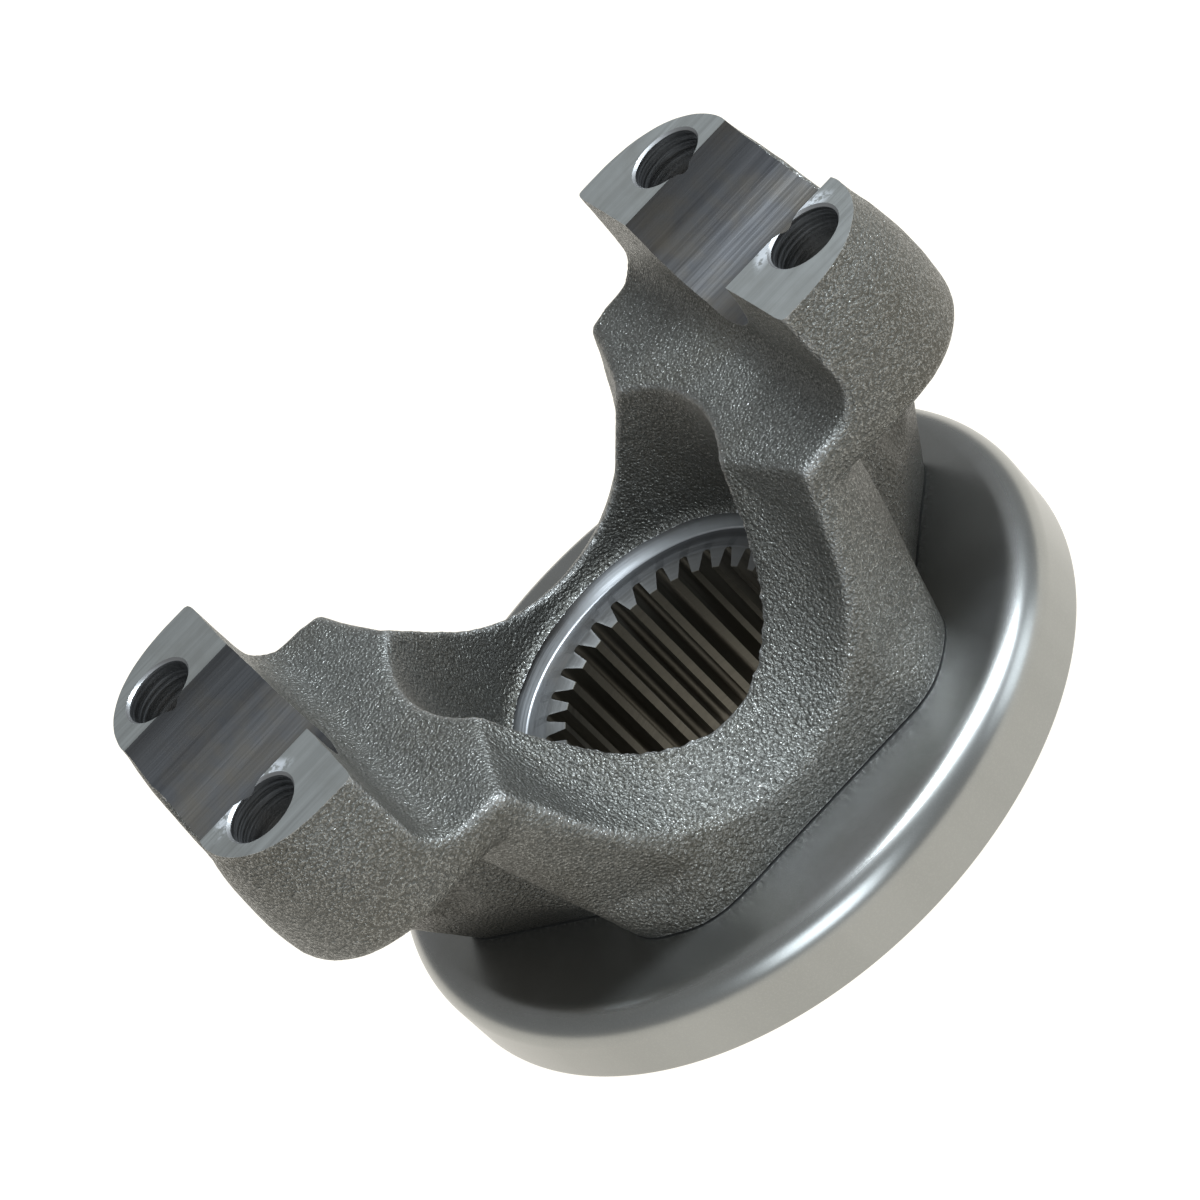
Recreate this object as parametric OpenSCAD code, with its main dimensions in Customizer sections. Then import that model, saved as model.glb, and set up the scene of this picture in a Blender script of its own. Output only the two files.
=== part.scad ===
// Pinion yoke with a pressed dust shield, in millimetres.
// The yoke stands on the rear face of its hub, and the hub's axis is Z.
// The two ears point up at +Y and -Y. The U-bolts straddle each ear along X.

/* [Ears] */
// Diameter of the half-round seat that holds a bearing cap
cap_d = 30.2; // [28:0.1:33]
// Height of the joint's centre line above the ear pads
cap_rise = 2.5; // [0:0.5:4]
// Distance between the two legs of one U-bolt
leg_pitch = 39.7; // [38.5:0.1:44]
// Diameter of the U-bolt holes
leg_hole_d = 10.3; // [9.6:0.1:11.5]
// Distance between the U-bolts of the two ears
ear_pitch = 98.9; // [96:0.5:102]
// Gap between the ears at their pads
ear_gap = 77; // [74:0.5:80]
// Width of an ear at its pad, across the two bolt holes
ear_w = 59.8; // [57:0.2:64]
// Length over the two ears at their pads
ear_span = 115.8; // [113:0.5:120]
// Height of an ear from its nut seat to its pad
ear_h = 22.8; // [20:0.2:25]
// Corner radius of an ear at its pad
ear_corner_r = 13.6; // [10:0.2:15]
// How far an ear's cast sides bulge out past its pad
ear_belly = 2.4; // [1:0.2:4]
// Depth below the pad where they bulge most
belly_depth = 15.5; // [12:0.5:18]
// Rounding of the ear's lower edge
ear_edge_r = 3.2; // [1:0.2:3.6]
// Radius kept clear round each nut
nut_clear_r = 10.5; // [9:0.5:12]

/* [Arms] */
// Depth of the ledge inside each ear, below the pads
ledge_depth = 16; // [14:0.5:18]
// Fillet between the ear's inner face and the ledge
ledge_fillet = 5; // [3:0.5:6]
// Slope of the ledge towards the hub, in degrees
ledge_slope = 5; // [0:1:8]
// Half length of the waist under the ears, along Y
waist_y = 38; // [36.6:0.2:38.4]
// Width of the waist, along X
waist_w = 62.8; // [60:0.2:64]
// Half distance between the ridges on each of its sides, along Y
waist_ridge_y = 32; // [31:0.5:32.5]
// Height above the foot where the ridges end
knee_h = 7.5; // [6:0.5:10]
// Half length of the waist there, along Y
knee_y = 31; // [30:0.2:32]
// Half distance between the ridges there
knee_ridge_y = 17.5; // [16:0.5:19]
// How far the waist reaches up inside the ears, above the nut seats
waist_rise = 5.2; // [3:0.2:6]
// How far the outer rib reaches from the axis at the nut seats
rib_reach = 59.4; // [58:0.2:62]
// Height over which the rib falls away below the nut seats before it slopes to the foot
rib_drop = 8.7; // [6:0.1:11]
// How much nearer to the axis the rib is there
rib_fall = 3.8; // [2:0.1:6]
// Half width of the rib's nose
rib_nose_r = 7; // [5:0.5:8]

/* [Throat] */
// Depth of the middle of the cone between the arms, below the pads
throat_depth = 13; // [11:0.5:15]
// Where the cone begins, out from the axis along X
throat_in_x = 15.7; // [14:0.1:18]
// Its radius there
throat_in_r = 18.8; // [17:0.1:20]
// Half width of the slot over the ledges there
throat_in_half = 23.2; // [22:0.1:24.5]
// Where the cone ends and the throat spreads out to the side faces
throat_mid_x = 27.2; // [25:0.1:29]
// Its radius there
throat_mid_r = 26; // [25:0.1:27.5]
// Half width of the slot over the ledges there
throat_mid_half = 26.8; // [26:0.1:28]
// Half width of the slot at the side faces
throat_out_half = 29.5; // [28.5:0.1:31]
// Radius of the throat's floor at the side faces
throat_out_r = 25.3; // [22:0.5:26]
// Height of the throat's floor above the foot at the side faces
throat_floor_h = 5.2; // [3:0.2:7]

/* [Hub] */
// Height from the hub's rear face to the ear pads
overall_h = 84; // [80:1:95]
// Length of the hub behind the foot
hub_len = 33; // [29:0.5:37]
// Diameter of the ground journal that runs in the seal
journal_d = 57; // [54:0.5:58]
// Diameter of the land that the dust shield is pressed on
land_d = 62; // [60:0.5:66]
// Length of that land
land_len = 9; // [8:0.5:12]
// Width of the foot along X
foot_w = 75.2; // [72:0.5:80]
// Length of the foot along Y
foot_l = 55.2; // [52:0.5:60]
// Corner radius of the foot
foot_corner_r = 11.5; // [9:0.5:13]
// Height of the foot's upright edge
foot_edge = 1.2; // [0.8:0.1:3]
// How far the rib's nose reaches at the foot
foot_nose = 41.8; // [38:0.2:44]
// Rear chamfer of the hub
hub_chamfer = 1.5; // [0.5:0.5:3]

/* [Socket pocket and spline] */
// Radius of the cast pocket at its floor
pocket_r = 25.3; // [24.6:0.1:26]
// Radius of the cast pocket at the ledges
pocket_top_r = 27.2; // [26.4:0.1:28]
// Depth of the cast pocket below the pads
pocket_depth = 41.6; // [40:0.2:43]
// Radius of the machined nut seat
seat_r = 24; // [23:0.1:24.4]
// Radius of the seat's turned wall where it meets the cast pocket
seat_top_r = 25; // [24.5:0.1:25.2]
// Depth of the nut seat below the pads
seat_depth = 43.8; // [43.2:0.1:45.5]
// Number of spline teeth
teeth = 31; // [24:1:36]
// Major diameter of the spline
spline_major_d = 41.1; // [39:0.1:43]
// Minor diameter of the spline
spline_minor_d = 35.6; // [33:0.1:37]
// Depth of the chamfer at both ends of the spline, which takes in nearly the whole tooth
spline_chamfer = 1.4; // [0.8:0.1:2]
// How far that chamfer stops short of the spline's major diameter
chamfer_short = 0.4; // [0.2:0.1:1]
// Diameter of the relief bore behind the spline
relief_d = 44; // [43.5:0.1:47]
// Length of the relief bore
relief_len = 12; // [8:0.5:16]

/* [Dust shield] */
// Outer diameter of the shield
shield_d = 107.2; // [104:0.2:114]
// Thickness of its sheet
shield_t = 1.6; // [1.2:0.1:2]
// Depth of the shield from its face to its open edge
shield_depth = 11.5; // [10:0.1:16]
// Outer radius of the bend at its face
shield_bend_r = 6; // [4:0.5:8]
// Depth of the inner collar behind the face
collar_len = 6.5; // [5:0.5:7.5]
// Radius of the bend between face and collar
collar_bend_r = 1.8; // [1.7:0.1:2.5]

/* [Hidden] */
$fn = 96;
hull_fn = 32;
slab = 0.2;
past = 1;
throat_past = 0.4;

z_pad = overall_h;
z_foot = hub_len;
z_seat = z_pad - ear_h;
z_ledge = z_pad - ledge_depth;
z_nut = z_pad - seat_depth;
z_pocket = z_pad - pocket_depth;

// Centre of an ear's corner rounding
corner_x = ear_w / 2 - ear_corner_r;
corner_y = ear_span / 2 - ear_corner_r;
// Radius of the bulge, and its angle where the lower edge starts to round
belly_r = (belly_depth * belly_depth + ear_belly * ear_belly) / (2 * ear_belly);
belly_low = asin((ear_h - ear_edge_r - belly_depth) / belly_r);
bolt_x = leg_pitch / 2;
bolt_y = ear_pitch / 2;

// The throat between the arms is a cone near the pocket and spreads out at the side faces
throat_z = z_pad - throat_depth;
throat_out_x = foot_w / 2 + throat_past;
throat_out_z = z_foot + throat_floor_h + throat_out_r;

waist_top_z = z_seat + waist_rise;
// The waist's corners: their radius, where their centres lie along X, and the radius of the ridges
waist_corner_r = 2;
waist_corner_x = 22.5;
knee_corner_x = 26.5;
ridge_r = 1;
knee_w = foot_w + (waist_w - foot_w) * knee_h / (waist_top_z - z_foot);
foot_corner_x = foot_w / 2 - foot_corner_r;
foot_corner_y = foot_l / 2 - foot_corner_r;
rib_top_z = z_pad - cap_d / 2 + cap_rise;
rib_mid_z = z_seat - rib_drop;
rib_top_fall = 1;
rib_root_x = 20;

// Points of an arc in a profile, from angle a0 to a1
function arc(cx, cy, r, a0, a1, n = 10) =
    [for (i = [0:n]) [cx + r * cos(a0 + (a1 - a0) * i / n), cy + r * sin(a0 + (a1 - a0) * i / n)]];

// Half section of an ear, out from the centre of its corner rounding, with the pad at 0
module ear_section() {
    belly_x = ear_corner_r + ear_belly - belly_r;
    low_x = belly_x + belly_r * cos(belly_low);
    belly_high = asin(belly_depth / belly_r);
    polygon(concat(
        [[0, 0]],
        arc(belly_x, -belly_depth, belly_r, belly_high, -belly_low, 8),
        arc(low_x - ear_edge_r, -ear_h + ear_edge_r, ear_edge_r, -6, -90, 6),
        [[0, -ear_h]]
    ));
}

// One ear as a block: bulging sides all round and a flat nut seat below
module ear_block() {
    inner_y = throat_in_half - 2;
    translate([0, 0, z_pad]) {
        for (sx = [-1, 1])
            translate([sx * corner_x, corner_y, 0])
                rotate_extrude() ear_section();
        translate([-corner_x, corner_y, 0])
            rotate([90, 0, 90])
                linear_extrude(2 * corner_x) ear_section();
        for (sx = [0, 1])
            mirror([sx, 0, 0])
                translate([corner_x, corner_y, 0])
                    rotate([90, 0, 0])
                        linear_extrude(corner_y - inner_y) ear_section();
        translate([-corner_x, inner_y, -ear_h])
            cube([2 * corner_x, corner_y - inner_y, ear_h]);
    }
}

// Outline of the waist at one height: a ridge and then a round corner at each arm's side
module waist_outline(half_x, half_y, ridge_y, corner_x, r, z, h) {
    for (sx = [-1, 1], sy = [-1, 1]) {
        translate([sx * (half_x - ridge_r), sy * (ridge_y - ridge_r), z])
            cylinder(r = ridge_r, h = h, $fn = hull_fn);
        translate([sx * corner_x, sy * (half_y - r), z])
            cylinder(r = r, h = h, $fn = hull_fn);
    }
}

// Outline of the waist at the knee, where the ridges end
module knee_outline() {
    waist_outline(knee_w / 2, knee_y, knee_ridge_y, knee_corner_x, waist_corner_r, z_foot + knee_h, slab);
}

// Waist under the ears: ridged arms down to the knee, then round corners to the foot
module waist() {
    hull() {
        waist_outline(waist_w / 2, waist_y, waist_ridge_y, waist_corner_x, waist_corner_r, waist_top_z, slab);
        knee_outline();
    }
    hull() {
        knee_outline();
        waist_outline(foot_w / 2, foot_l / 2, foot_corner_y, foot_corner_x, foot_corner_r, z_foot, foot_edge);
    }
}

// One disc of a rib's nose at each ear
module rib_noses(reach, r, z) {
    for (sy = [-1, 1])
        translate([0, sy * (reach - r), z])
            cylinder(r = r, h = slab, $fn = hull_fn);
}

// Ribs on the outside of both arms, from the ears down to the noses of the foot
module ribs() {
    nose_low_r = rib_nose_r * 0.6;
    hull() {
        for (sx = [-1, 1], sy = [-1, 1])
            translate([sx * rib_root_x, sy * (foot_l / 2 - nose_low_r), z_foot])
                cylinder(r = nose_low_r, h = z_seat - z_foot, $fn = hull_fn);
        rib_noses(foot_nose, nose_low_r, z_foot);
        rib_noses(rib_reach - rib_fall, rib_nose_r, rib_mid_z);
        rib_noses(rib_reach, rib_nose_r, z_seat);
        rib_noses(rib_reach - rib_top_fall, rib_nose_r, rib_top_z);
    }
}

// Space between the ears down to their ledges, drawn looking along X
module ledge_space() {
    fillet_y = ear_gap / 2 - ledge_fillet;
    low_y = 10;
    fall = (fillet_y - low_y) * tan(ledge_slope);
    side = concat(
        [[ear_gap / 2, past]],
        arc(fillet_y, -ledge_depth + ledge_fillet, ledge_fillet, 0, -90),
        [[low_y, -ledge_depth - fall]]
    );
    points = concat(side, [for (i = [len(side) - 1:-1:0]) [-side[i][0], side[i][1]]]);
    translate([-foot_w / 2, 0, z_pad])
        rotate([90, 0, 90])
            linear_extrude(foot_w) polygon(points);
}

// Thin section of the throat: a disc with the slot between the ledges over it
module throat_disc(x, r, half, z) {
    translate([x, 0, z])
        rotate([0, 90, 0])
            cylinder(r = r, h = slab, $fn = hull_fn);
    translate([x, -half, z_ledge])
        cube([slab, 2 * half, ledge_depth + past]);
}

// Space at one side of the hub that opens the arms out towards their side faces
module throat() {
    hull() {
        throat_disc(throat_in_x, throat_in_r, throat_in_half, throat_z);
        throat_disc(throat_mid_x, throat_mid_r, throat_mid_half, throat_z);
    }
    hull() {
        throat_disc(throat_mid_x, throat_mid_r, throat_mid_half, throat_z);
        throat_disc(throat_out_x, throat_out_r, throat_out_half, throat_out_z);
    }
}

// Cast pocket round the pinion nut
module pocket() {
    translate([0, 0, z_pocket])
        cylinder(r1 = pocket_r, r2 = pocket_top_r, h = pocket_depth - ledge_depth);
    translate([0, 0, z_ledge - slab])
        cylinder(r = pocket_top_r, h = ledge_depth + slab + past);
}

// Half-round seats for the two bearing caps, in one line along Y
module cap_seats() {
    reach = ear_span + 4 * ear_belly;
    translate([0, reach / 2, z_pad + cap_rise])
        rotate([90, 0, 0])
            cylinder(d = cap_d, h = reach);
}

// Four holes for the U-bolts, with room for their nuts below the ears
module bolt_holes() {
    for (sx = [-1, 1], sy = [-1, 1])
        translate([sx * bolt_x, sy * bolt_y, 0]) {
            translate([0, 0, z_foot])
                cylinder(d = leg_hole_d, h = overall_h - z_foot + past);
            translate([0, 0, z_foot - past])
                cylinder(r = nut_clear_r, h = z_seat - z_foot + past);
        }
}

// One tooth space of the spline: flanks lean in towards the bore
module tooth_space(i) {
    pitch = 360 / teeth;
    root_half = pitch * 0.17;
    tip_half = pitch * 0.34;
    major = spline_major_d / 2;
    minor = spline_minor_d / 2 - 0.5;
    polygon([
        [minor * cos(i * pitch - tip_half), minor * sin(i * pitch - tip_half)],
        [major * cos(i * pitch - root_half), major * sin(i * pitch - root_half)],
        [major * cos(i * pitch + root_half), major * sin(i * pitch + root_half)],
        [minor * cos(i * pitch + tip_half), minor * sin(i * pitch + tip_half)]
    ]);
}

// Nut seat, splined bore and the relief behind it
module bore() {
    minor = spline_minor_d / 2;
    chamfer_r = spline_major_d / 2 - chamfer_short;
    translate([0, 0, z_nut])
        cylinder(r1 = seat_r, r2 = seat_top_r, h = seat_depth - pocket_depth);
    translate([0, 0, relief_len - past])
        linear_extrude(z_nut - relief_len + 2 * past) {
            circle(r = minor);
            for (i = [0:teeth - 1])
                tooth_space(i);
        }
    translate([0, 0, z_nut - spline_chamfer])
        cylinder(r1 = minor, r2 = chamfer_r, h = spline_chamfer);
    translate([0, 0, -past])
        cylinder(d = relief_d, h = relief_len + past);
    translate([0, 0, relief_len])
        cylinder(r1 = chamfer_r, r2 = minor, h = spline_chamfer);
}

// Turned hub behind the foot, with the shield's land and the seal journal
module hub() {
    rotate_extrude()
        polygon([
            [0, 0],
            [journal_d / 2 - hub_chamfer, 0],
            [journal_d / 2, hub_chamfer],
            [journal_d / 2, z_foot - land_len],
            [land_d / 2, z_foot - land_len],
            [land_d / 2, z_foot + past],
            [0, z_foot + past]
        ]);
}

module yoke() {
    color([0.36, 0.36, 0.37])
        difference() {
            union() {
                hub();
                waist();
                ribs();
                for (a = [0, 180])
                    rotate([0, 0, a]) ear_block();
            }
            ledge_space();
            for (a = [0, 180])
                rotate([0, 0, a]) throat();
            pocket();
            cap_seats();
            bolt_holes();
            bore();
        }
}

// Section of the stamped shield: collar, face, bend and outer wall
module shield_section() {
    inner_r = land_d / 2;
    outer_r = shield_d / 2;
    collar_in = collar_bend_r - shield_t;
    bend_in = shield_bend_r - shield_t;
    polygon(concat(
        [[inner_r, -collar_len]],
        arc(inner_r + collar_bend_r, -collar_bend_r, collar_bend_r, 180, 90),
        arc(outer_r - shield_bend_r, -shield_bend_r, shield_bend_r, 90, 0),
        [[outer_r, -shield_depth], [outer_r - shield_t, -shield_depth]],
        arc(outer_r - shield_bend_r, -shield_bend_r, bend_in, 0, 90),
        arc(inner_r + collar_bend_r, -collar_bend_r, max(collar_in, 0.05), 90, 180),
        [[inner_r + shield_t, -collar_len]]
    ));
}

module dust_shield() {
    color([0.66, 0.67, 0.67])
        translate([0, 0, z_foot])
            rotate_extrude() shield_section();
}

yoke();
dust_shield();
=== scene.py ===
import math
import bmesh
import bpy
from mathutils import Matrix, Quaternion, Vector, noise


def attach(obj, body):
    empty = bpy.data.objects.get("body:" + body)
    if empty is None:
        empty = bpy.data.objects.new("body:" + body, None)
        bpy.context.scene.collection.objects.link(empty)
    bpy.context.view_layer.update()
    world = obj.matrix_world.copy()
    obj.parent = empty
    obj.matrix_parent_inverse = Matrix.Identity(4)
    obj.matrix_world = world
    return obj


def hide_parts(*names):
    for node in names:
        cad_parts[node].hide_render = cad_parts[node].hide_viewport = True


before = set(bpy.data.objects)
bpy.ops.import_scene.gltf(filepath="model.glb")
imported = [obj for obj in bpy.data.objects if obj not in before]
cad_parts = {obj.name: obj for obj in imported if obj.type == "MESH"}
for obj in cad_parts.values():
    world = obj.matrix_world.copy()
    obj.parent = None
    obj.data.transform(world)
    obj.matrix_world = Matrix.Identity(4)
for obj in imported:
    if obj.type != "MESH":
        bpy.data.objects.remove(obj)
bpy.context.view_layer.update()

# All sizes are in millimetres here, and the meshes are made in metres.
MM = 0.001

PAD_Z = 84.0
FOOT_Z = 33.0
CAP_D = 30.2
CAP_RISE = 2.5
LEG_PITCH = 39.7
EAR_PITCH = 98.9
LEG_HOLE_D = 10.3
EAR_GAP = 77.0
EAR_W = 59.8
EAR_SPAN = 115.8
EAR_H = 22.8
EAR_CORNER_R = 13.6
NUT_CLEAR_R = 10.5
POCKET_DEPTH = 41.6
SEAT_R = 24.0
SEAT_TOP_R = 25.0
SEAT_DEPTH = 43.8
JOURNAL_D = 57.0
LAND_D = 62.0
LAND_LEN = 9.0
HUB_CHAMFER = 1.5
TEETH = 31
SPLINE_MAJOR_D = 41.1
SPLINE_MINOR_D = 35.6
RELIEF_D = 44.0
RELIEF_LEN = 12.0
SHIELD_D = 107.2
SHIELD_T = 1.6
SHIELD_DEPTH = 11.5
COLLAR_LEN = 6.5
COLLAR_BEND_R = 1.8

# Tighter than the solid's 6 mm, as the narrow highlight in the photo shows
SHIELD_BEND_R = 4.6

SEAT_Z = PAD_Z - SEAT_DEPTH
POCKET_Z = PAD_Z - POCKET_DEPTH
LEDGE_Z = PAD_Z - 16.0
NUT_Z = PAD_Z - EAR_H

# Sections of the throat at one side: place along X, radius, half width of its slot, height
THROAT = [
    (15.7, 18.8, 23.2, PAD_Z - 13),
    (27.2, 26.0, 26.8, PAD_Z - 13),
    (38.2, 25.3, 29.5, FOOT_Z + 30.5)]

# Spare metal on the casting where it is machined
PAD_STOCK = 3.0
FOOT_STOCK = 5.0
HUB_STOCK = 3.0
HUB_STOCK_LEN = 4.0
RECESS_STOCK = 0.4

# Small radii, chamfers and depths of the machining
LEG_HOLE_LIP = 0.35
NUT_FACE_DEPTH = 0.9
SEAT_CORNER_R = 0.45
SEAT_CORNER_IN = 0.35
TIP_CHAMFER = 0.9
TIP_MARGIN = 0.3
RELIEF_CHAMFER = 1.2
JOURNAL_RELIEF = 0.6
LAND_CHAMFER = 0.5

# A tooth space: half its width at the mouth and the root, as shares of the pitch, and a radius
SPACE_MOUTH = 0.36
SPACE_ROOT = 0.14
SPACE_ROOT_R = 0.52

# Past every side of the object
REACH = 90.0

# The slight waves of the cast skin: height and length
WAVES = (0.10, 9)
RIPPLES = (0.07, 3.1)
RIPPLE_SHIFT = (7, 3, 1)

# Radii at the shield's cut edge and inside its collar
RIM_R = 0.4
RIM_INNER_R = 0.3
COLLAR_INNER_R = 0.2

# Gap of the dark seam between the casting's foot and the shield
SEAM = 0.25

# The cast skin is remeshed at this grain, then smoothed into its fillets.
GRAIN = 0.72
FILLET_STEPS = 4


def mesh_object(name, bm):
    """Puts a bmesh, made in millimetres, into the scene as an object in metres."""
    bm.transform(Matrix.Scale(MM, 4))
    mesh = bpy.data.meshes.new(name)
    bm.to_mesh(mesh)
    bm.free()
    obj = bpy.data.objects.new(name, mesh)
    bpy.context.scene.collection.objects.link(obj)
    return obj


def add_cylinder(bm, x, y, z0, z1, r, sides=128):
    """Adds an upright cylinder from z0 to z1."""
    middle = Matrix.Translation((x, y, (z0 + z1) / 2))
    made = bmesh.ops.create_cone(
        bm, cap_ends=True, segments=sides, radius1=r, radius2=r, depth=z1 - z0, matrix=middle)
    return made["verts"]


def add_block(bm, low, high):
    """Adds a box between two corners."""
    size = [b - a for a, b in zip(low, high)]
    middle = [(a + b) / 2 for a, b in zip(low, high)]
    matrix = Matrix.Translation(middle) @ Matrix.Diagonal((*size, 1))
    return bmesh.ops.create_cube(bm, size=1, matrix=matrix)["verts"]


def append(bm, part):
    """Adds a finished bmesh to another one."""
    mesh = bpy.data.meshes.new("part")
    part.to_mesh(mesh)
    part.free()
    bm.from_mesh(mesh)
    bpy.data.meshes.remove(mesh)


def add_turned(bm, profile, x=0, y=0, steps=192):
    """Spins an outline of (radius, z) points about an upright axis into a closed solid."""
    part = bmesh.new()
    verts = [part.verts.new((r, 0, z)) for r, z in profile]
    edges = [part.edges.new(pair) for pair in zip(verts, verts[1:])]
    if profile[0][0] > 0:
        edges.append(part.edges.new((verts[-1], verts[0])))
    bmesh.ops.spin(
        part, geom=[*verts, *edges], cent=(0, 0, 0), axis=(0, 0, 1),
        angle=math.tau, steps=steps, use_merge=True)
    bmesh.ops.remove_doubles(part, verts=part.verts, dist=1e-5)
    bmesh.ops.recalc_face_normals(part, faces=part.faces)
    bmesh.ops.translate(part, vec=(x, y, 0), verts=part.verts)
    append(bm, part)


def corner_arc(cx, cz, r, start, end, steps):
    """Points of an arc in a turned outline, with its angles in degrees."""
    turn = [math.radians(start + (end - start) * i / steps) for i in range(steps + 1)]
    return [(cx + r * math.cos(a), cz + r * math.sin(a)) for a in turn]


# Casting: the CAD solid with its machined places filled, rounded like a cast skin, then machined

def add_ear_stock(bm, side):
    """Fills one ear's seat and holes, up to the spare metal over its pad."""
    part = bmesh.new()
    add_block(
        part, (-EAR_W / 2, EAR_GAP / 2, NUT_Z + 0.1),
        (EAR_W / 2, EAR_SPAN / 2, PAD_Z + PAD_STOCK))
    corners = [e for e in part.edges if all(v.co.y > EAR_SPAN / 2 - 1 for v in e.verts)
               and abs(e.verts[0].co.z - e.verts[1].co.z) > 1]
    bmesh.ops.bevel(
        part, geom=corners, offset=EAR_CORNER_R, offset_type="OFFSET", affect="EDGES",
        segments=16, profile=0.5, material=-1)
    if side < 0:
        bmesh.ops.rotate(
            part, cent=(0, 0, 0), matrix=Matrix.Rotation(math.pi, 3, "Z"), verts=part.verts)
    append(bm, part)


def cast_stock():
    """The unmachined casting as one rough mesh of overlapping solids."""
    bm = bmesh.new()
    bm.from_mesh(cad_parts["yoke"].data)
    bm.transform(Matrix.Scale(1 / MM, 4))
    bmesh.ops.remove_doubles(bm, verts=bm.verts, dist=1e-3)
    for v in bm.verts:
        radius = math.hypot(v.co.x, v.co.y)
        if abs(v.co.z - PAD_Z) < 0.01:
            v.co.z += PAD_STOCK
        elif abs(v.co.z - FOOT_Z) < 0.01 and radius > LAND_D / 2 + 0.5:
            v.co.z -= FOOT_STOCK
    for side in (1, -1):
        add_ear_stock(bm, side)
    add_cylinder(bm, 0, 0, -HUB_STOCK_LEN, FOOT_Z - 1, LAND_D / 2 + HUB_STOCK)
    add_cylinder(bm, 0, 0, -HUB_STOCK_LEN, POCKET_Z, SEAT_TOP_R + RECESS_STOCK)
    return mesh_object("yoke_casting", bm)


def apply_modifiers(obj):
    """Bakes an object's modifiers into its mesh."""
    graph = bpy.context.evaluated_depsgraph_get()
    graph.update()
    done = bpy.data.meshes.new_from_object(obj.evaluated_get(graph))
    old = obj.data
    obj.modifiers.clear()
    obj.data = done
    done.name = old.name
    bpy.data.meshes.remove(old)


def throat_cutter(bm):
    """The two spaces that open out to the side faces, round where the solid has flats."""
    for turn in (0, math.pi):
        for pair in zip(THROAT, THROAT[1:]):
            part = bmesh.new()
            for x, r, half, z in pair:
                for step in range(160):
                    a = math.tau * step / 160
                    part.verts.new((x, r * math.cos(a), z + r * math.sin(a)))
                for y in (-half, half):
                    part.verts.new((x, y, LEDGE_Z))
                    part.verts.new((x, y, PAD_Z + 6))
            made = bmesh.ops.convex_hull(part, input=part.verts)
            spare = [v for v in made["geom_interior"] if isinstance(v, bmesh.types.BMVert)]
            bmesh.ops.delete(part, geom=spare, context="VERTS")
            bmesh.ops.recalc_face_normals(part, faces=part.faces)
            bmesh.ops.rotate(
                part, cent=(0, 0, 0), matrix=Matrix.Rotation(turn, 3, "Z"), verts=part.verts)
            append(bm, part)


def remesh(obj):
    """Wraps the mesh in one even skin."""
    skin = obj.modifiers.new("remesh", "REMESH")
    skin.mode = "VOXEL"
    skin.voxel_size = GRAIN * MM
    apply_modifiers(obj)


def cast_skin(obj):
    """Rounds the rough mesh into one skin with fillets and the slight waves of a casting."""
    soften = obj.modifiers.new("soften", "SMOOTH")
    soften.factor = 0.5
    soften.iterations = FILLET_STEPS
    apply_modifiers(obj)
    bm = bmesh.new()
    bm.from_mesh(obj.data)
    bm.normal_update()
    shifts = []
    for v in bm.verts:
        p = v.co / MM
        wave = WAVES[0] * noise.noise(p / WAVES[1])
        wave += RIPPLES[0] * noise.noise(p / RIPPLES[1] + Vector(RIPPLE_SHIFT))
        shifts.append(v.normal * wave * MM)
    for v, shift in zip(bm.verts, shifts):
        v.co += shift
    bm.to_mesh(obj.data)
    bm.free()


def cut(obj, name, build, material):
    """Cuts a solid away from the casting and gives the new faces the cutter's material."""
    bm = bmesh.new()
    build(bm)
    cutter = mesh_object(name, bm)
    cutter.data.materials.append(material)
    knife = obj.modifiers.new(name, "BOOLEAN")
    knife.operation = "DIFFERENCE"
    knife.solver = "MANIFOLD"
    knife.material_mode = "TRANSFER"
    knife.object = cutter
    apply_modifiers(obj)
    mesh = cutter.data
    bpy.data.objects.remove(cutter)
    bpy.data.meshes.remove(mesh)


def pad_cutter(bm):
    add_block(bm, (-REACH, -REACH, PAD_Z), (REACH, REACH, PAD_Z + REACH))


def cap_seat_cutter(bm):
    verts = add_cylinder(bm, 0, 0, -REACH, REACH, CAP_D / 2, sides=160)
    bmesh.ops.rotate(bm, cent=(0, 0, 0), matrix=Matrix.Rotation(math.pi / 2, 3, "X"), verts=verts)
    bmesh.ops.translate(bm, vec=(0, 0, PAD_Z + CAP_RISE), verts=verts)


def leg_places():
    for sx in (-1, 1):
        for sy in (-1, 1):
            yield sx * LEG_PITCH / 2, sy * EAR_PITCH / 2


def leg_hole_cutter(bm):
    """U-bolt holes, each with a small countersink at the pad."""
    r = LEG_HOLE_D / 2
    lip_r = r + LEG_HOLE_LIP
    for x, y in leg_places():
        add_turned(bm, [
            (0, NUT_Z - 20), (r, NUT_Z - 20), (r, PAD_Z - LEG_HOLE_LIP), (lip_r, PAD_Z),
            (lip_r, PAD_Z + 1), (0, PAD_Z + 1)], x, y, steps=96)


def nut_seat_cutter(bm):
    """A shallow spot face under each ear, where the U-bolt nuts sit."""
    for x, y in leg_places():
        add_cylinder(bm, x, y, NUT_Z - NUT_FACE_DEPTH, NUT_Z, NUT_CLEAR_R, sides=96)


def nut_recess_cutter(bm):
    """Counterbore for the pinion nut: a flat floor, a small radius and a wall that flares."""
    add_turned(bm, [
        (0, SEAT_Z),
        *corner_arc(SEAT_R - SEAT_CORNER_IN, SEAT_Z + SEAT_CORNER_R, SEAT_CORNER_R, -90, -24, 5),
        (SEAT_TOP_R + 0.1, POCKET_Z + 0.25), (0, POCKET_Z + 0.25)])


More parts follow.
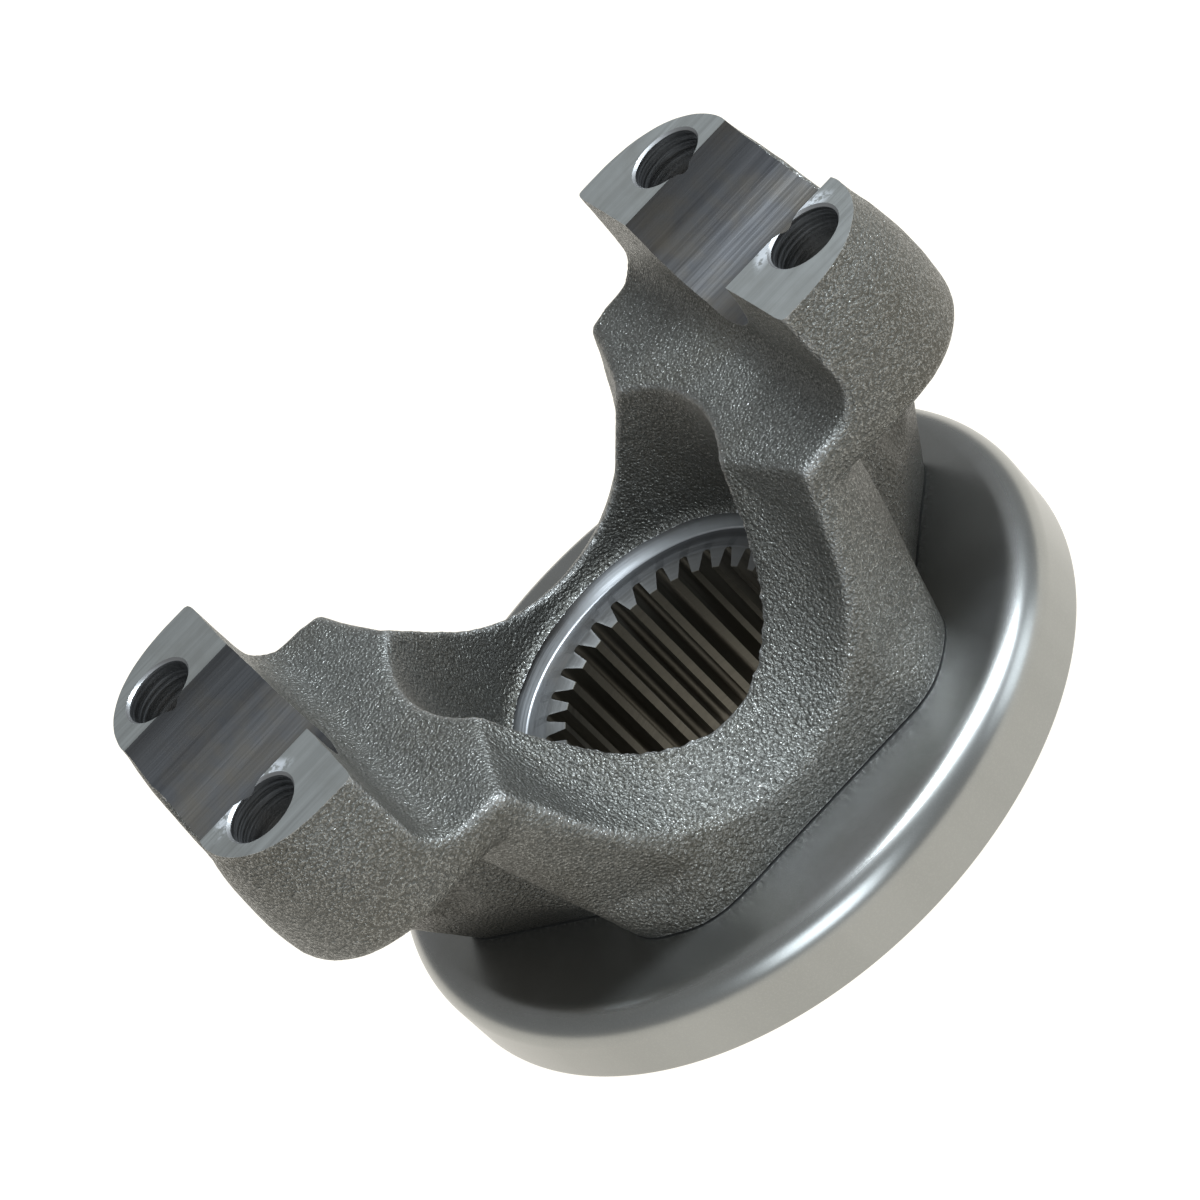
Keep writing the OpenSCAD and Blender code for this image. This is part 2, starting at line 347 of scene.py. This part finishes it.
def bore_cutter(bm):
    """The smooth bore at the tooth tips, its chamfer and the relief behind the spline."""
    tip = SPLINE_MINOR_D / 2
    mouth = SPLINE_MAJOR_D / 2 - TIP_MARGIN
    add_turned(bm, [
        (0, -3), (RELIEF_D / 2, -3), (RELIEF_D / 2, RELIEF_LEN),
        (tip + RELIEF_CHAMFER, RELIEF_LEN), (tip, RELIEF_LEN + RELIEF_CHAMFER),
        (tip, SEAT_Z - TIP_CHAMFER), (mouth, SEAT_Z), (mouth, SEAT_Z + 2), (0, SEAT_Z + 2)])


def tooth_space_cutter(bm):
    """All the spaces between the spline's teeth, each a tapered bar with a round root."""
    pitch = math.tau / TEETH
    inner = SPLINE_MINOR_D / 2 - 0.4
    outer = SPLINE_MAJOR_D / 2
    half_in = inner * pitch * SPACE_MOUTH
    half_out = outer * pitch * SPACE_ROOT
    bottom = RELIEF_LEN - 1
    base = [(inner, -half_in), (outer, -half_out), (outer, half_out), (inner, half_in)]
    verts = [bm.verts.new((x, y, bottom)) for x, y in base]
    face = bm.faces.new(verts)
    made = bmesh.ops.extrude_face_region(bm, geom=[face])
    top = [g for g in made["geom"] if isinstance(g, bmesh.types.BMVert)]
    bmesh.ops.translate(bm, vec=(0, 0, SEAT_Z + 1.5 - bottom), verts=top)
    roots = [e for e in bm.edges if all(v.co.x > outer - 0.01 for v in e.verts)
             and abs(e.verts[0].co.z - e.verts[1].co.z) > 1]
    bmesh.ops.bevel(
        bm, geom=roots, offset=SPACE_ROOT_R, affect="EDGES", segments=5, profile=0.5,
        material=-1)
    bmesh.ops.recalc_face_normals(bm, faces=bm.faces)
    bmesh.ops.spin(
        bm, geom=[*bm.verts, *bm.edges, *bm.faces], cent=(0, 0, 0), axis=(0, 0, 1),
        angle=math.tau * (TEETH - 1) / TEETH, steps=TEETH - 1, use_duplicate=True)


def hub_cutter(bm):
    """Turns the hub: everything below the foot and outside the shield's land and the journal."""
    journal = JOURNAL_D / 2
    land = LAND_D / 2
    shoulder = FOOT_Z - LAND_LEN
    under_foot = land + 2
    add_turned(bm, [
        (0, 0), (journal - HUB_CHAMFER, 0), (journal, HUB_CHAMFER),
        (journal, shoulder - JOURNAL_RELIEF), (journal + JOURNAL_RELIEF, shoulder),
        (land - LAND_CHAMFER, shoulder), (land, shoulder + LAND_CHAMFER),
        (land, FOOT_Z), (under_foot, FOOT_Z), (under_foot, FOOT_Z + SEAM),
        (REACH, FOOT_Z + SEAM), (REACH, -9), (0, -9)])


def shade_edges(obj, angle=32):
    """Smooth shading with sharp edges where two finishes meet or a machined corner turns."""
    bm = bmesh.new()
    bm.from_mesh(obj.data)
    limit = math.radians(angle)
    for f in bm.faces:
        f.smooth = True
    for e in bm.edges:
        if len(e.link_faces) != 2:
            continue
        a, b = e.link_faces
        machined = a.material_index or b.material_index
        differs = a.material_index != b.material_index
        e.smooth = not (differs or (machined and e.calc_face_angle(0) > limit))
    bm.to_mesh(obj.data)
    bm.free()


# Effects that more than one material uses, each as a node group

def node(tree, kind, sets=(), **inputs):
    """Adds a node, sets its properties and then its named inputs."""
    made = tree.nodes.new(kind)
    for key, value in dict(sets).items():
        setattr(made, key, value)
    for key, value in inputs.items():
        made.inputs[key.replace("_", " ")].default_value = value
    return made


def join(tree, source, target):
    """Links one socket to another."""
    tree.links.new(source, target)


def maths(tree, operation, a, b=None):
    """A maths node on two sockets or numbers."""
    made = tree.nodes.new("ShaderNodeMath")
    made.operation = operation
    for socket, value in zip(made.inputs, (a, b)):
        if isinstance(value, bpy.types.NodeSocket):
            join(tree, value, socket)
        elif value is not None:
            socket.default_value = value
    return made.outputs[0]


def product(tree, first, *others):
    """Multiplies sockets or numbers."""
    for other in others:
        first = maths(tree, "MULTIPLY", first, other)
    return first


def axes_of(tree, vector):
    """The X, Y and Z of a vector, as three sockets."""
    split = tree.nodes.new("ShaderNodeSeparateXYZ")
    join(tree, vector, split.inputs[0])
    return split.outputs


def vector_of(tree, *parts):
    """A vector from three sockets."""
    pack = tree.nodes.new("ShaderNodeCombineXYZ")
    for socket, part in zip(pack.inputs, parts):
        join(tree, part, socket)
    return pack.outputs[0]


def away_from_axis(tree, x, y):
    """How far a point is from an upright axis, by its X and Y from it."""
    return maths(tree, "SQRT", maths(tree, "ADD", product(tree, x, x), product(tree, y, y)))


def remap(tree, value, low, high, out_low=0.0, out_high=1.0):
    """Maps a value from one range to another, smoothly and without passing its ends."""
    made = node(tree, "ShaderNodeMapRange", {"interpolation_type": "SMOOTHSTEP"})
    for socket, given in zip(made.inputs, (value, low, high, out_low, out_high)):
        if isinstance(given, bpy.types.NodeSocket):
            join(tree, given, socket)
        else:
            socket.default_value = given
    return made.outputs[0]


def blend(tree, factor, a, b):
    """Mixes two colours, given as sockets or as three numbers."""
    made = node(tree, "ShaderNodeMix", {"data_type": "RGBA"})
    for socket, given in ((made.inputs[0], factor), (made.inputs[6], a), (made.inputs[7], b)):
        if isinstance(given, bpy.types.NodeSocket):
            join(tree, given, socket)
        elif isinstance(given, tuple):
            socket.default_value = (*given, 1)
        else:
            socket.default_value = given
    return made.outputs[2]


def new_group(name, inputs, outputs):
    """An empty node group with its sockets."""
    tree = bpy.data.node_groups.new(name, "ShaderNodeTree")
    for label, default in inputs:
        kind = "NodeSocketVector" if default is None else "NodeSocketFloat"
        socket = tree.interface.new_socket(name=label, in_out="INPUT", socket_type=kind)
        if default is not None:
            socket.default_value = default
    for label in outputs:
        tree.interface.new_socket(name=label, in_out="OUTPUT", socket_type="NodeSocketFloat")
    entry = tree.nodes.new("NodeGroupInput")
    leave = tree.nodes.new("NodeGroupOutput")
    return tree, entry.outputs, leave.inputs


def noise_of(tree, vector, scale, detail, roughness=0.5):
    """The value of a noise pattern, with its scale as a socket or a number."""
    made = node(tree, "ShaderNodeTexNoise", Detail=detail, Roughness=roughness)
    join(tree, vector, made.inputs["Vector"])
    if isinstance(scale, bpy.types.NodeSocket):
        join(tree, scale, made.inputs["Scale"])
    else:
        made.inputs["Scale"].default_value = scale
    return made.outputs["Fac"]


# Shot-blasted cast skin: leathery folds and domes. The Glint output marks small spots on the bump
# tops that are painted lighter, partly as worn peaks and partly as painted glints that stand in
# for sparkle.
grain_group, given, out = new_group(
    "cast_grain", [("Vector", None), ("Scale", 2150.0)], ["Height", "Glint", "Patches"])
cells = node(grain_group, "ShaderNodeTexVoronoi", {"feature": "F1"})
join(grain_group, given["Vector"], cells.inputs["Vector"])
join(grain_group, given["Scale"], cells.inputs["Scale"])
far = cells.outputs["Distance"]
size = given["Scale"]
folds = noise_of(grain_group, given["Vector"], size, 2, 0.55)
facets = noise_of(grain_group, given["Vector"], product(grain_group, size, 2.2), 1)
patches = noise_of(grain_group, given["Vector"], product(grain_group, size, 0.055), 3)
domes = maths(
    grain_group, "SUBTRACT", product(grain_group, folds, 1.7), product(grain_group, far, far))
height = maths(grain_group, "ADD", domes, product(grain_group, facets, 0.45))
# Painted glints with worn peaks: where the fine facets stand highest, the colour is made lighter
tops = remap(grain_group, height, 0.5, 1.1)
bright = remap(grain_group, facets, 0.4, 0.64)
join(grain_group, height, out["Height"])
join(grain_group, product(grain_group, tops, bright), out["Glint"])
join(grain_group, patches, out["Patches"])

# Marks of a cutting tool: long thin lines along one axis of the vector that comes in
lines_group, given, out = new_group(
    "tool_lines", [("Vector", None), ("Along", 30.0), ("Across", 2500.0)], ["Height", "Streaks"])
x, y, z = axes_of(lines_group, given["Vector"])
stretched = []
for share in (1.0, 0.16):
    across = product(lines_group, given["Across"], share)
    along = product(lines_group, given["Along"], share)
    drawn_out = vector_of(
        lines_group, product(lines_group, x, across), product(lines_group, y, along),
        product(lines_group, z, across))
    stretched.append(noise_of(lines_group, drawn_out, 1.0, 3, 0.6))
join(lines_group, stretched[0], out["Height"])
join(lines_group, remap(lines_group, stretched[1], 0.35, 0.65), out["Streaks"])

# Handling dirt and oil in soft patches
grime_group, given, out = new_group(
    "grime", [("Vector", None), ("Scale", 60.0), ("Cover", 0.5)], ["Mask"])
cloud = noise_of(grime_group, given["Vector"], given["Scale"], 4, 0.6)
bare = product(grime_group, maths(grime_group, "SUBTRACT", 1.0, given["Cover"]), 0.7)
covered = maths(grime_group, "ADD", bare, 0.3)
join(grime_group, remap(grime_group, cloud, bare, covered), out["Mask"])


# Materials

def new_material(name, metallic=1.0):
    """A material with its shader, and the piece's own coordinates."""
    material = bpy.data.materials.new(name)
    material.use_nodes = True
    tree = material.node_tree
    skin = tree.nodes["Principled BSDF"]
    skin.inputs["Metallic"].default_value = metallic
    place = node(tree, "ShaderNodeTexCoord").outputs["Object"]
    return material, tree, skin, place


def use(tree, group, vector, **inputs):
    """Places one of the effect groups in a material."""
    made = node(tree, "ShaderNodeGroup", {"node_tree": group})
    join(tree, vector, made.inputs["Vector"])
    for key, value in inputs.items():
        made.inputs[key].default_value = value
    return made.outputs


def relief(tree, skin, height, depth):
    """Turns a height into the shader's normal. The depth is in millimetres."""
    bump = node(tree, "ShaderNodeBump", Strength=1.0, Distance=depth * MM)
    join(tree, height, bump.inputs["Height"])
    join(tree, bump.outputs["Normal"], skin.inputs["Normal"])


TURN_R = 20


def turned_place(tree, place):
    """Coordinates round the hub's axis: X out from it, Y round it at TURN_R and Z along it."""
    x, y, z = axes_of(tree, place)
    radius = away_from_axis(tree, x, y)
    angle = maths(tree, "ARCTAN2", y, x)
    return vector_of(tree, radius, product(tree, angle, TURN_R * MM), z), radius, z


def scaled(tree, place, factors):
    """The coordinates, stretched by a factor along each axis."""
    made = node(tree, "ShaderNodeVectorMath", {"operation": "MULTIPLY"})
    join(tree, place, made.inputs[0])
    made.inputs[1].default_value = factors
    return made.outputs[0]


def make_cast_material():
    material, tree, skin, place = new_material("cast_skin", 0.85)
    grain = use(tree, grain_group, place, Scale=2150.0)
    brown = use(tree, grime_group, place, Scale=45.0, Cover=0.45)
    bend = node(tree, "ShaderNodeNewGeometry").outputs["Pointiness"]
    x, y, z = axes_of(tree, place)
    outer = remap(tree, maths(tree, "ABSOLUTE", y), 27 * MM, 36 * MM)
    low = remap(tree, z, 62 * MM, 42 * MM)
    base = blend(tree, grain["Patches"], (0.085, 0.085, 0.078), (0.115, 0.115, 0.105))
    base = blend(tree, product(tree, brown["Mask"], 0.6), base, (0.09, 0.083, 0.066))
    # Painted glints with worn peaks: the grain's tops are made lighter
    base = blend(tree, grain["Glint"], base, (0.24, 0.24, 0.226))
    # Convex ridges lighter: partly edge wear, partly painted highlight
    base = blend(tree, remap(tree, bend, 0.515, 0.57, 0, 0.85), base, (0.38, 0.38, 0.37))
    # Painted shade: concave creases and fillets are made darker
    base = blend(tree, remap(tree, bend, 0.485, 0.42, 0, 0.7), base, (0.05, 0.048, 0.04))
    # Painted shade: darker low on the outer sides, under the ears where the ribs meet the foot
    base = blend(tree, product(tree, outer, low, 0.7), base, (0.035, 0.033, 0.028))
    join(tree, base, skin.inputs["Base Color"])
    join(tree, remap(tree, grain["Glint"], 0, 1, 0.5, 0.24), skin.inputs["Roughness"])
    relief(tree, skin, grain["Height"], 0.18)
    return material


def near_legs(tree, place):
    """How near a point is to a front U-bolt hole, where the drill broke into the seat."""
    x, y, z = axes_of(tree, place)
    x = maths(tree, "SUBTRACT", x, LEG_PITCH / 2 * MM)
    y = maths(tree, "SUBTRACT", maths(tree, "ABSOLUTE", y), EAR_PITCH / 2 * MM)
    close = remap(tree, away_from_axis(tree, x, y), 8 * MM, 6.6 * MM)
    side = remap(tree, x, -1 * MM, -3.5 * MM)
    high = remap(tree, z, (PAD_Z - 3) * MM, (PAD_Z - 1.5) * MM)
    torn = remap(tree, noise_of(tree, place, 900.0, 3, 0.6), 0.4, 0.55)
    return product(tree, close, side, high, torn)


def make_pad_material():
    material, tree, skin, place = new_material("milled_pad")
    lines = use(tree, lines_group, place, Along=25.0, Across=4000.0)
    dirt = use(tree, grime_group, place, Scale=160.0, Cover=0.4)
    base = blend(tree, lines["Streaks"], (0.26, 0.264, 0.254), (0.3, 0.305, 0.294))
    base = blend(tree, product(tree, dirt["Mask"], 0.35), base, (0.2, 0.196, 0.178))
    base = blend(tree, near_legs(tree, place), base, (0.62, 0.635, 0.65))
    join(tree, base, skin.inputs["Base Color"])
    join(tree, remap(tree, lines["Height"], 0.3, 0.7, 0.5, 0.62), skin.inputs["Roughness"])
    relief(tree, skin, lines["Height"], 0.015)
    return material


def make_seat_material():
    material, tree, skin, place = new_material("bored_seat")
    lines = use(tree, lines_group, place, Along=60.0, Across=2600.0)
    bands = use(tree, lines_group, place, Along=30.0, Across=900.0)
    dirt = use(tree, grime_group, place, Scale=90.0, Cover=0.42)
    base = blend(tree, lines["Streaks"], (0.038, 0.038, 0.04), (0.07, 0.07, 0.072))
    base = blend(tree, product(tree, bands["Streaks"], 0.5), base, (0.095, 0.096, 0.098))
    base = blend(tree, product(tree, dirt["Mask"], 0.6), base, (0.085, 0.073, 0.056))
    base = blend(tree, near_legs(tree, place), base, (0.62, 0.635, 0.65))
    join(tree, base, skin.inputs["Base Color"])
    join(tree, remap(tree, lines["Height"], 0.3, 0.7, 0.55, 0.72), skin.inputs["Roughness"])
    relief(tree, skin, lines["Height"], 0.04)
    return material


def make_hole_material():
    material, tree, skin, place = new_material("drilled_hole")
    height = axes_of(tree, place)[2]
    rim = remap(tree, height, (PAD_Z - 0.6) * MM, (PAD_Z - 0.3) * MM)
    rings = noise_of(tree, scaled(tree, place, (60, 60, 2600)), 1.0, 3, 0.6)
    base = blend(tree, rings, (0.15, 0.15, 0.15), (0.42, 0.425, 0.43))
    join(tree, blend(tree, rim, base, (0.34, 0.34, 0.34)), skin.inputs["Base Color"])
    join(tree, remap(tree, rings, 0.3, 0.7, 0.3, 0.5), skin.inputs["Roughness"])
    relief(tree, skin, rings, 0.04)
    return material


def make_turned_material():
    material, tree, skin, place = new_material("turned_steel")
    round_place, radius, z = turned_place(tree, place)
    lines = use(tree, lines_group, round_place, Along=60.0, Across=3200.0)
    dirt = use(tree, grime_group, place, Scale=70.0, Cover=0.35)
    wall = remap(tree, radius, (SEAT_R - 0.4) * MM, (SEAT_R - 0.1) * MM)
    foot = remap(tree, z, POCKET_Z * MM, (SEAT_Z + 0.5) * MM)
    ends = remap(tree, radius, (SPLINE_MAJOR_D / 2 + 0.1) * MM, (SPLINE_MAJOR_D / 2 - 0.2) * MM)
    lands = remap(tree, radius, (SPLINE_MINOR_D / 2 + 0.15) * MM, (SPLINE_MINOR_D / 2 + 0.05) * MM)
    base = blend(tree, lines["Streaks"], (0.11, 0.111, 0.112), (0.17, 0.172, 0.173))
    # Painted reflection: the counterbore's wall is made much lighter than the rest of the turned
    # steel
    base = blend(tree, product(tree, wall, foot), base, (0.42, 0.43, 0.44))
    base = blend(tree, product(tree, dirt["Mask"], 0.5), base, (0.16, 0.135, 0.105))
    base = blend(tree, ends, base, (0.15, 0.15, 0.146))
    base = blend(tree, lands, base, (0.13, 0.124, 0.105))
    join(tree, base, skin.inputs["Base Color"])
    join(tree, remap(tree, lines["Height"], 0.3, 0.7, 0.4, 0.54), skin.inputs["Roughness"])
    relief(tree, skin, lines["Height"], 0.02)
    return material


def make_spline_material():
    material, tree, skin, place = new_material("broached_spline")
    along = scaled(tree, place, (2600, 2600, 40))
    marks = noise_of(tree, along, 1.0, 3, 0.6)
    dirt = use(tree, grime_group, place, Scale=120.0, Cover=0.5)
    base = blend(tree, marks, (0.085, 0.081, 0.068), (0.16, 0.151, 0.128))
    base = blend(tree, product(tree, dirt["Mask"], 0.6), base, (0.12, 0.11, 0.09))
    join(tree, base, skin.inputs["Base Color"])
    join(tree, remap(tree, marks, 0.3, 0.7, 0.45, 0.6), skin.inputs["Roughness"])
    relief(tree, skin, marks, 0.02)
    return material


def make_shield_material():
    material, tree, skin, place = new_material("pressed_steel")
    round_place, radius, z = turned_place(tree, place)
    face = remap(tree, z, (FOOT_Z - 1.6) * MM, (FOOT_Z - 0.1) * MM)
    flat_place = scaled(tree, round_place, (1, 1, 0.05))
    drawn = use(tree, lines_group, flat_place, Along=900.0, Across=400.0)
    film = use(tree, grime_group, place, Scale=38.0, Cover=0.6)
    grain_glints = use(tree, grain_group, place, Scale=2600.0)
    wall = blend(tree, drawn["Streaks"], (0.29, 0.295, 0.285), (0.31, 0.315, 0.305))
    dark = blend(tree, film["Mask"], (0.31, 0.31, 0.305), (0.26, 0.258, 0.243))
    base = blend(tree, face, wall, dark)
    # Faint painted glints: the grain's tops are made a little lighter on the shield
    base = blend(tree, product(tree, grain_glints["Glint"], 0.1), base, (0.5, 0.5, 0.48))
    join(tree, base, skin.inputs["Base Color"])
    join(tree, remap(tree, face, 0, 1, 1, 0.94), skin.inputs["Metallic"])
    join(tree, remap(tree, face, 0, 1, 0.3, 0.27), skin.inputs["Roughness"])
    relief(tree, skin, grain_glints["Height"], 0.002)
    return material


cast_material = make_cast_material()
pad_material = make_pad_material()
seat_material = make_seat_material()
hole_material = make_hole_material()
turned_material = make_turned_material()
spline_material = make_spline_material()
shield_material = make_shield_material()

casting = cast_stock()
remesh(casting)
cut(casting, "throat", throat_cutter, cast_material)
remesh(casting)
cast_skin(casting)
casting.data.materials.clear()
casting.data.materials.append(cast_material)
cut(casting, "pads", pad_cutter, pad_material)
cut(casting, "cap_seats", cap_seat_cutter, seat_material)
cut(casting, "nut_seats", nut_seat_cutter, pad_material)
cut(casting, "leg_holes", leg_hole_cutter, hole_material)
cut(casting, "hub", hub_cutter, turned_material)
cut(casting, "nut_recess", nut_recess_cutter, turned_material)
cut(casting, "bore", bore_cutter, turned_material)
cut(casting, "tooth_spaces", tooth_space_cutter, spline_material)
shade_edges(casting)
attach(casting, "root")
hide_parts("yoke")

# Dust shield: the stamped ring, turned again with smooth bends

def shield_outline():
    """The ring's section. A point beside each bend keeps its flat parts shaded flat."""
    inner_r = LAND_D / 2
    outer_r = SHIELD_D / 2
    top = FOOT_Z
    bottom = top - SHIELD_DEPTH
    bend_in = SHIELD_BEND_R - SHIELD_T
    return [
        (inner_r, top - COLLAR_LEN),
        *corner_arc(inner_r + COLLAR_BEND_R, top - COLLAR_BEND_R, COLLAR_BEND_R, 180, 90, 8),
        (inner_r + COLLAR_BEND_R + 0.5, top), (outer_r - SHIELD_BEND_R - 0.5, top),
        *corner_arc(outer_r - SHIELD_BEND_R, top - SHIELD_BEND_R, SHIELD_BEND_R, 90, 0, 24),
        (outer_r, bottom + 0.8),
        *corner_arc(outer_r - RIM_R, bottom + RIM_R, RIM_R, 0, -90, 4),
        *corner_arc(
            outer_r - SHIELD_T + RIM_INNER_R, bottom + RIM_INNER_R, RIM_INNER_R, -90, -180, 3),
        *corner_arc(outer_r - SHIELD_BEND_R, top - SHIELD_BEND_R, bend_in, 0, 90, 12),
        *corner_arc(inner_r + COLLAR_BEND_R, top - COLLAR_BEND_R, COLLAR_INNER_R, 90, 180, 3),
        (inner_r + SHIELD_T, top - COLLAR_LEN)]


bm = bmesh.new()
add_turned(bm, shield_outline(), steps=256)
shield = mesh_object("pressed_shield", bm)
shield.data.materials.append(shield_material)
shade_edges(shield, 60)
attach(shield, "root")
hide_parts("dust_shield")


# Camera, floor and lights. The floor lies just under the hub's rear face.

CAMERA_PLACE = (0.42017, -0.02307, 0.32978)
CAMERA_AIM = (0, 0, 0.05554)
CAMERA_ROLL = -44.84
LENS = 112.5
SENSOR_W = 36
FLOOR_HALF = 3000
FLOOR_DROP = 0.2
LAMP_AIM = (0, 0, 0.04)
LAMP_TINT = (0.83, 0.92, 1)
WORLD_TINT = (0.95, 0.98, 1, 1)
WORLD_STRENGTH = 0.36

camera_data = bpy.data.cameras.new("photo_camera")
camera_data.sensor_width = SENSOR_W
camera_data.lens = LENS
camera = bpy.data.objects.new("photo_camera", camera_data)
camera.location = CAMERA_PLACE
sight = Vector(CAMERA_AIM) - camera.location
camera.rotation_mode = "QUATERNION"
camera.rotation_quaternion = (
    sight.to_track_quat("-Z", "Y") @ Quaternion((0, 0, 1), math.radians(CAMERA_ROLL)))
bpy.context.scene.collection.objects.link(camera)
bpy.context.scene.camera = camera

bm = bmesh.new()
drop = Matrix.Translation((0, 0, -FLOOR_DROP))
bmesh.ops.create_grid(bm, x_segments=1, y_segments=1, size=FLOOR_HALF, matrix=drop)
floor = mesh_object("floor", bm)
floor_material, tree, shader, place = new_material("pale_floor", 0.0)
shader.inputs["Base Color"].default_value = (0.04, 0.039, 0.036, 1)
shader.inputs["Emission Color"].default_value = (1, 0.96, 0.885, 1)
shader.inputs["Emission Strength"].default_value = 1.13
shader.inputs["Roughness"].default_value = 0.9
floor.data.materials.append(floor_material)


def soft_light(name, place, size, power):
    """A large softbox that faces the object."""
    data = bpy.data.lights.new(name, "AREA")
    data.color = LAMP_TINT
    data.shape = "RECTANGLE"
    data.size, data.size_y = size
    data.energy = power
    light = bpy.data.objects.new(name, data)
    light.location = place
    light.rotation_mode = "QUATERNION"
    light.rotation_quaternion = (Vector(LAMP_AIM) - Vector(place)).to_track_quat("-Z", "Y")
    bpy.context.scene.collection.objects.link(light)


soft_light("top_box", (0.05, 0.42, 0.85), (0.17, 0.65), 16)
soft_light("side_box", (0.35, 0.8, 0.25), (0.4, 0.4), 1.6)
soft_light("front_box", (0.8, -0.3, 0.55), (0.5, 0.5), 4.4)
world = bpy.data.worlds.new("studio")
world.use_nodes = True
glow = world.node_tree.nodes["Background"].inputs
glow["Color"].default_value = WORLD_TINT
glow["Strength"].default_value = WORLD_STRENGTH
bpy.context.scene.world = world
bpy.context.scene.view_settings.view_transform = "Standard"

bpy.context.view_layer.update()
